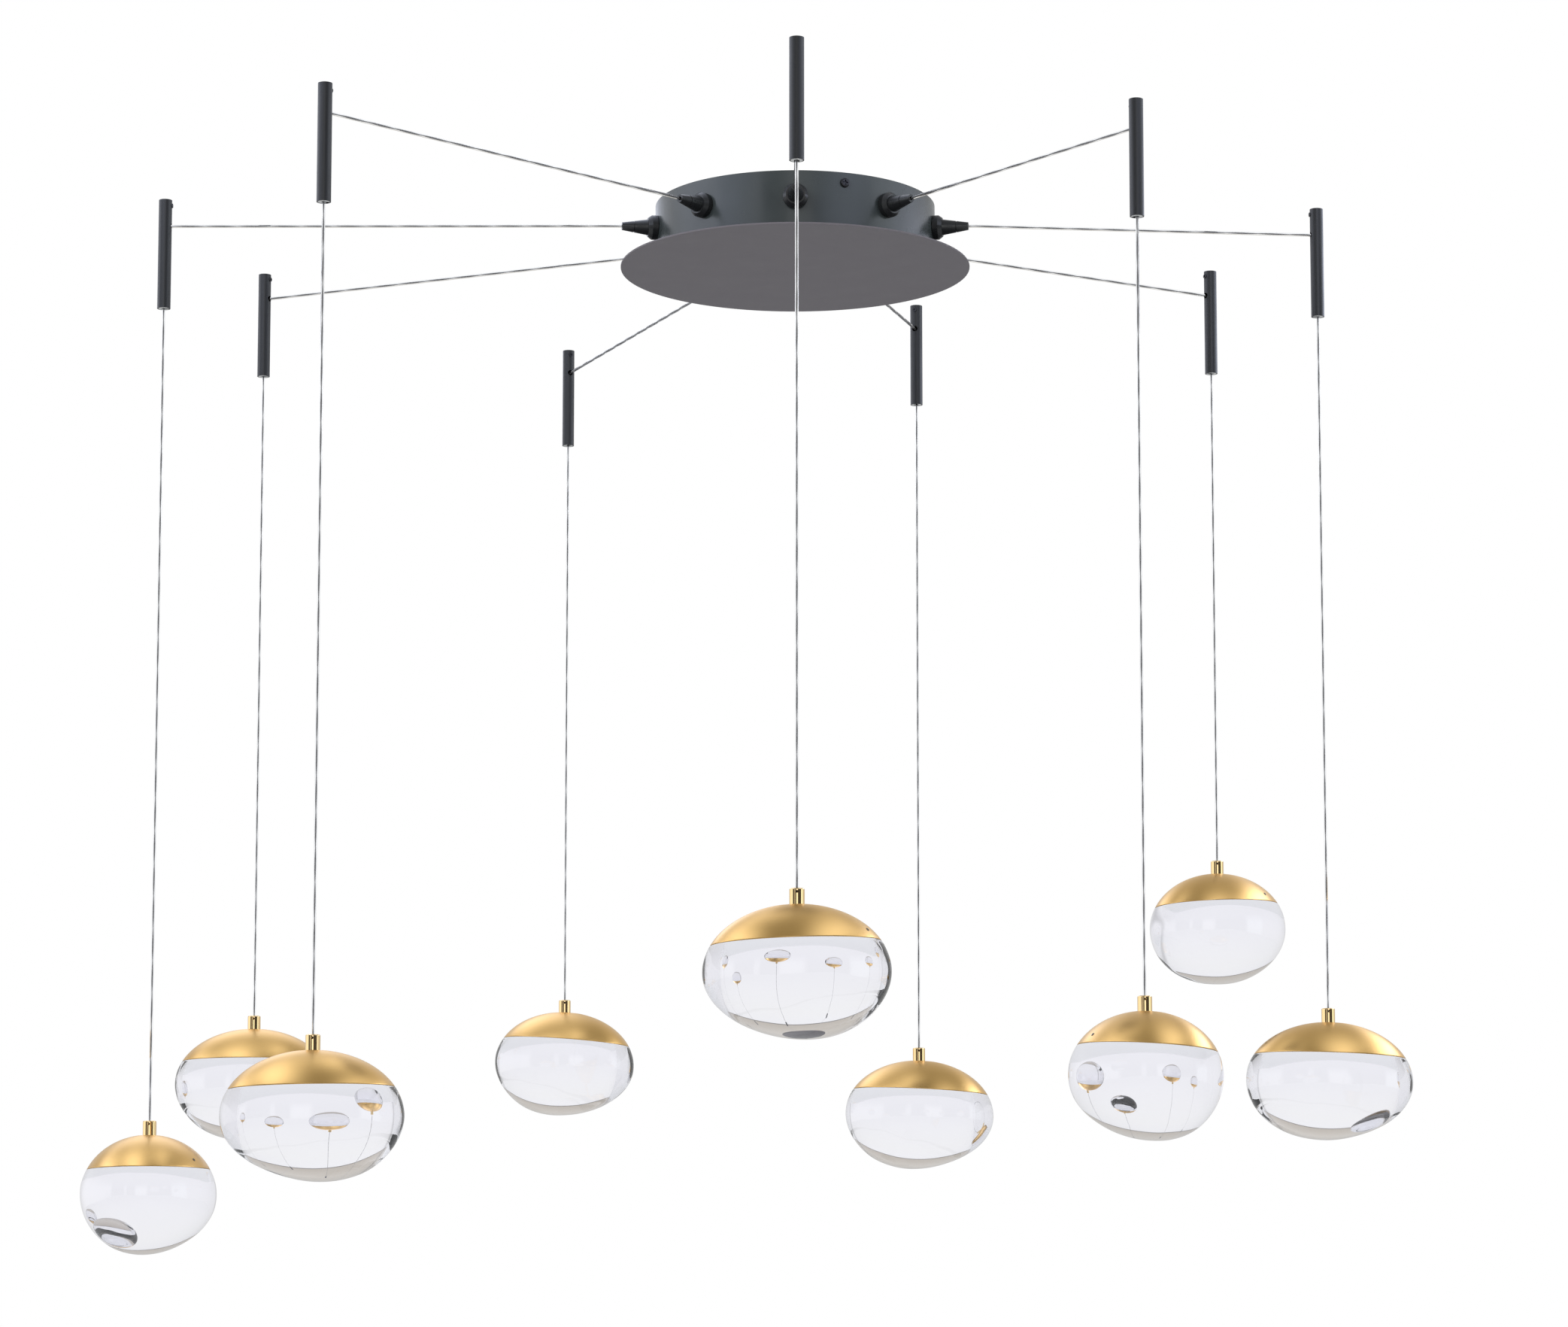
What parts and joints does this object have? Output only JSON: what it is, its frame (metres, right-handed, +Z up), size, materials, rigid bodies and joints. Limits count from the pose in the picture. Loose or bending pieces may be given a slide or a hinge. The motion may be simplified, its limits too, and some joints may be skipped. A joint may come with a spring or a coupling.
{
  "type": "cluster pendant light",
  "caption": "Ceiling light: solid glass drops under gold caps hang on thin cables that run from a round canopy over short ceiling tubes.",
  "frame": {"origin": "centre of the round canopy in the plane of the ceiling", "axes": "+Z up, square to the ceiling; -Y towards the viewer of the picture; +X to the viewer's right"},
  "size_m": [1.1769, 1.1915, 0.9494],
  "materials": {
    "black_metal": "satin powder coat",
    "cover_metal": "matt powder coat",
    "tube_metal": "satin powder coat",
    "screw_metal": "blackened",
    "zinc_steel": "zinc plated",
    "gland_nylon": "moulded nylon",
    "pale_nylon": "moulded nylon",
    "driver_case": "moulded",
    "cable_jacket": "clear jacket over a silver core",
    "ferrule_gold": "polished",
    "cap_gold": "satin brushed",
    "engine_aluminium": "die cast",
    "clear_glass": "clear solid glass"
  },
  "bodies": {
    "root": {"canopy_ring": "black_metal", "canopy_cover": "cover_metal", "cover_nuts": "zinc_steel", "ceiling_bracket": "zinc_steel", "canopy_screws": "screw_metal", "cable_glands": "gland_nylon", "gland_nuts": "gland_nylon", "ceiling_tubes": "tube_metal", "tube_bases": "zinc_steel", "tube_grub_screws": "screw_metal", "tube_end_plugs": "pale_nylon", "led_driver": "driver_case", "hub_plate": "zinc_steel", "terminal_blocks": "pale_nylon", "cable_runs": "cable_jacket"},
    "drop_1": {"drop_cable_1": "cable_jacket"},
    "pendant_1": {"ferrule_1": "ferrule_gold", "glass_cap_1": "cap_gold", "light_engine_1": "engine_aluminium", "glass_1": "clear_glass"},
    "drop_2": {"drop_cable_2": "cable_jacket"},
    "pendant_2": {"ferrule_2": "ferrule_gold", "glass_cap_2": "cap_gold", "light_engine_2": "engine_aluminium", "glass_2": "clear_glass"},
    "drop_3": {"drop_cable_3": "cable_jacket"},
    "pendant_3": {"ferrule_3": "ferrule_gold", "glass_cap_3": "cap_gold", "light_engine_3": "engine_aluminium", "glass_3": "clear_glass"},
    "drop_4": {"drop_cable_4": "cable_jacket"},
    "pendant_4": {"ferrule_4": "ferrule_gold", "glass_cap_4": "cap_gold", "light_engine_4": "engine_aluminium", "glass_4": "clear_glass"},
    "drop_5": {"drop_cable_5": "cable_jacket"},
    "pendant_5": {"ferrule_5": "ferrule_gold", "glass_cap_5": "cap_gold", "light_engine_5": "engine_aluminium", "glass_5": "clear_glass"},
    "drop_6": {"drop_cable_6": "cable_jacket"},
    "pendant_6": {"ferrule_6": "ferrule_gold", "glass_cap_6": "cap_gold", "light_engine_6": "engine_aluminium", "glass_6": "clear_glass"},
    "drop_7": {"drop_cable_7": "cable_jacket"},
    "pendant_7": {"ferrule_7": "ferrule_gold", "glass_cap_7": "cap_gold", "light_engine_7": "engine_aluminium", "glass_7": "clear_glass"},
    "drop_8": {"drop_cable_8": "cable_jacket"},
    "pendant_8": {"ferrule_8": "ferrule_gold", "glass_cap_8": "cap_gold", "light_engine_8": "engine_aluminium", "glass_8": "clear_glass"},
    "drop_9": {"drop_cable_9": "cable_jacket"},
    "pendant_9": {"ferrule_9": "ferrule_gold", "glass_cap_9": "cap_gold", "light_engine_9": "engine_aluminium", "glass_9": "clear_glass"}
  },
  "joints": [
    {"name": "swing_1", "type": "hinge", "parent": "root", "child": "drop_1", "pos_m": [-0.56937, -0.02685, -0.0985], "axis": [0, 1, 0], "range_deg": [-10, 10]},
    {"name": "turn_1", "type": "hinge", "parent": "drop_1", "child": "pendant_1", "pos_m": [-0.56937, -0.02685, -0.832], "axis": [0, 0, 1], "range_deg": [-180, 180]},
    {"name": "swing_2", "type": "hinge", "parent": "root", "child": "drop_2", "pos_m": [-0.51129, 0.24278, -0.0985], "axis": [0, 1, 0], "range_deg": [-10, 10]},
    {"name": "turn_2", "type": "hinge", "parent": "drop_2", "child": "pendant_2", "pos_m": [-0.51129, 0.24278, -0.717], "axis": [0, 0, 1], "range_deg": [-180, 180]},
    {"name": "swing_3", "type": "hinge", "parent": "root", "child": "drop_3", "pos_m": [-0.38749, -0.38749, -0.0985], "axis": [0, 1, 0], "range_deg": [-10, 10]},
    {"name": "turn_3", "type": "hinge", "parent": "drop_3", "child": "pendant_3", "pos_m": [-0.38749, -0.38749, -0.784], "axis": [0, 0, 1], "range_deg": [-180, 180]},
    {"name": "swing_4", "type": "hinge", "parent": "root", "child": "drop_4", "pos_m": [-0.23347, 0.55814, -0.0985], "axis": [0, 1, 0], "range_deg": [-10, 10]},
    {"name": "turn_4", "type": "hinge", "parent": "drop_4", "child": "pendant_4", "pos_m": [-0.23347, 0.55814, -0.675], "axis": [0, 0, 1], "range_deg": [-180, 180]},
    {"name": "swing_5", "type": "hinge", "parent": "root", "child": "drop_5", "pos_m": [0, -0.511, -0.0985], "axis": [0, 1, 0], "range_deg": [-10, 10]},
    {"name": "turn_5", "type": "hinge", "parent": "drop_5", "child": "pendant_5", "pos_m": [0, -0.511, -0.68], "axis": [0, 0, 1], "range_deg": [-180, 180]},
    {"name": "swing_6", "type": "hinge", "parent": "root", "child": "drop_6", "pos_m": [0.1212, 0.36648, -0.0985], "axis": [0, 1, 0], "range_deg": [-10, 10]},
    {"name": "turn_6", "type": "hinge", "parent": "drop_6", "child": "pendant_6", "pos_m": [0.1212, 0.36648, -0.738], "axis": [0, 0, 1], "range_deg": [-180, 180]},
    {"name": "swing_7", "type": "hinge", "parent": "root", "child": "drop_7", "pos_m": [0.28302, -0.34211, -0.0985], "axis": [0, 1, 0], "range_deg": [-10, 10]},
    {"name": "turn_7", "type": "hinge", "parent": "drop_7", "child": "pendant_7", "pos_m": [0.28302, -0.34211, -0.749], "axis": [0, 0, 1], "range_deg": [-180, 180]},
    {"name": "swing_8", "type": "hinge", "parent": "root", "child": "drop_8", "pos_m": [0.4001, 0.231, -0.0985], "axis": [0, 1, 0], "range_deg": [-10, 10]},
    {"name": "turn_8", "type": "hinge", "parent": "drop_8", "child": "pendant_8", "pos_m": [0.4001, 0.231, -0.571], "axis": [0, 0, 1], "range_deg": [-180, 180]},
    {"name": "swing_9", "type": "hinge", "parent": "root", "child": "drop_9", "pos_m": [0.47498, 0.00415, -0.0985], "axis": [0, 1, 0], "range_deg": [-10, 10]},
    {"name": "turn_9", "type": "hinge", "parent": "drop_9", "child": "pendant_9", "pos_m": [0.47498, 0.00415, -0.73], "axis": [0, 0, 1], "range_deg": [-180, 180]}
  ]
}
